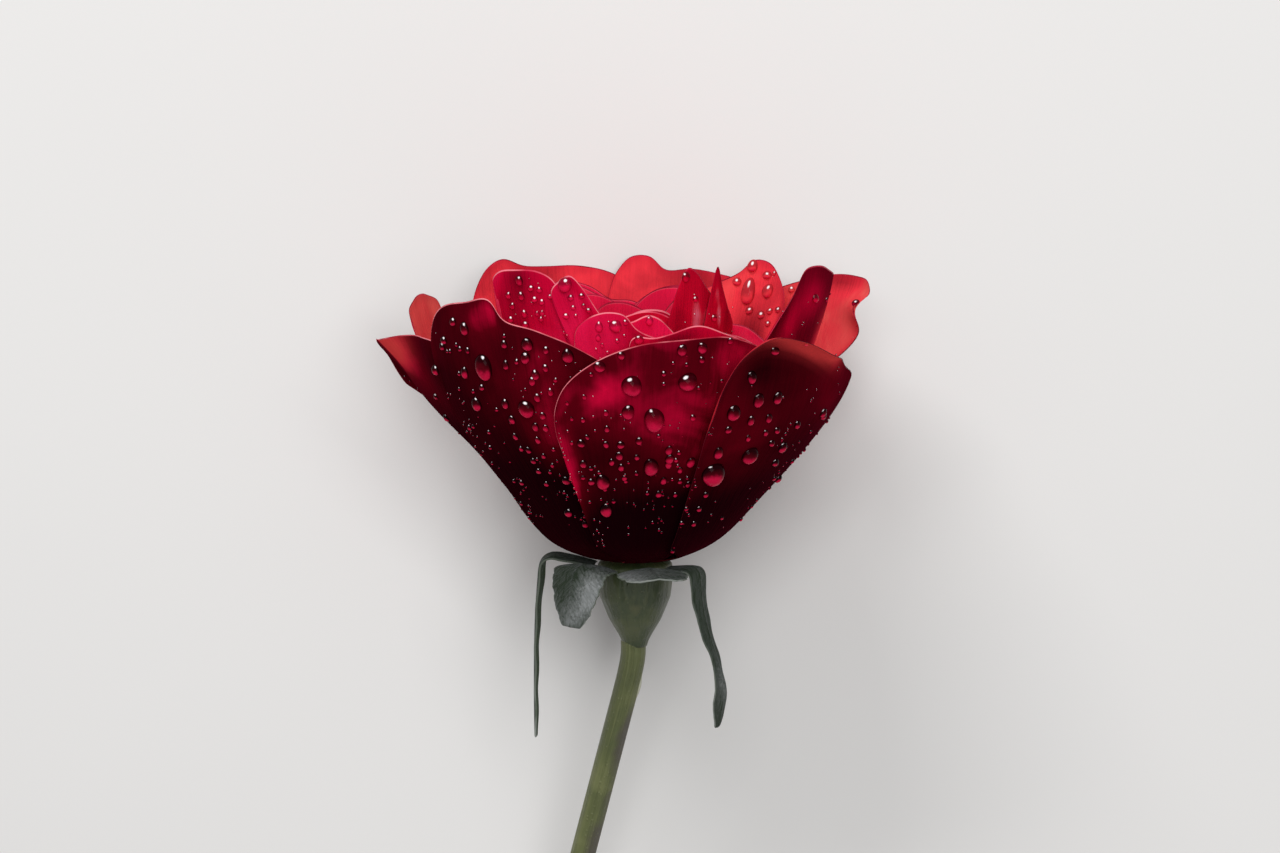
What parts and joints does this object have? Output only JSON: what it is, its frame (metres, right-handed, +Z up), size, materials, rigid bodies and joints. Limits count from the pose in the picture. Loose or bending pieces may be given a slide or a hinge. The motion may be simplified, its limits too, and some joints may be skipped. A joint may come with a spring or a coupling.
{
  "type": "rose",
  "caption": "cut garden rose lying on its side: cupped bloom of overlapping petals, reflexed sepals, hypanthium and bent stem with a slanted cut end",
  "frame": {"origin": "the centre of the bounding box's bottom, on the surface that the rose lies on", "axes": "+Z up, +Y from the stem's cut end towards the bloom, +X to the bloom's right seen from above"},
  "size_m": [0.0806, 0.1948, 0.0761],
  "materials": {
    "petal_outer": "velvety, deep crimson outside and coral red inside, wet with dew",
    "petal_second": "velvety, crimson",
    "petal_third": "velvety, pink crimson",
    "petal_fourth": "velvety, pink crimson",
    "petal_heart": "velvety, pink",
    "sepal": "matt, felted silver-green inside",
    "hypanthium": "smooth, dark green",
    "stem": "smooth, yellow-green",
    "stamen": "matt, golden",
    "style": "matt, pale yellow-green"
  },
  "bodies": {
    "root": {"stem": "stem", "hypanthium": "hypanthium", "stamens": "stamen", "styles": "style", "sepal_left": "sepal", "sepal_front_left": "sepal", "sepal_front": "sepal", "sepal_right": "sepal", "sepal_back": "sepal", "petal_outer_1": "petal_outer", "petal_outer_2": "petal_outer", "petal_outer_3": "petal_outer", "petal_outer_4": "petal_outer", "petal_outer_5": "petal_outer", "petal_outer_6": "petal_outer", "petal_outer_7": "petal_outer", "petal_outer_8": "petal_outer", "petal_second_1": "petal_second", "petal_second_2": "petal_second", "petal_second_3": "petal_second", "petal_second_4": "petal_second", "petal_second_5": "petal_second", "petal_second_6": "petal_second", "petal_second_7": "petal_second", "petal_second_8": "petal_second", "petal_third_1": "petal_third", "petal_third_2": "petal_third", "petal_third_3": "petal_third", "petal_third_4": "petal_third", "petal_third_5": "petal_third", "petal_third_6": "petal_third", "petal_third_7": "petal_third", "petal_fourth_1": "petal_fourth", "petal_fourth_2": "petal_fourth", "petal_fourth_3": "petal_fourth", "petal_fourth_4": "petal_fourth", "petal_fourth_5": "petal_fourth", "petal_fourth_6": "petal_fourth", "petal_heart_1": "petal_heart", "petal_heart_2": "petal_heart", "petal_heart_3": "petal_heart", "petal_heart_4": "petal_heart"}
  },
  "joints": []
}
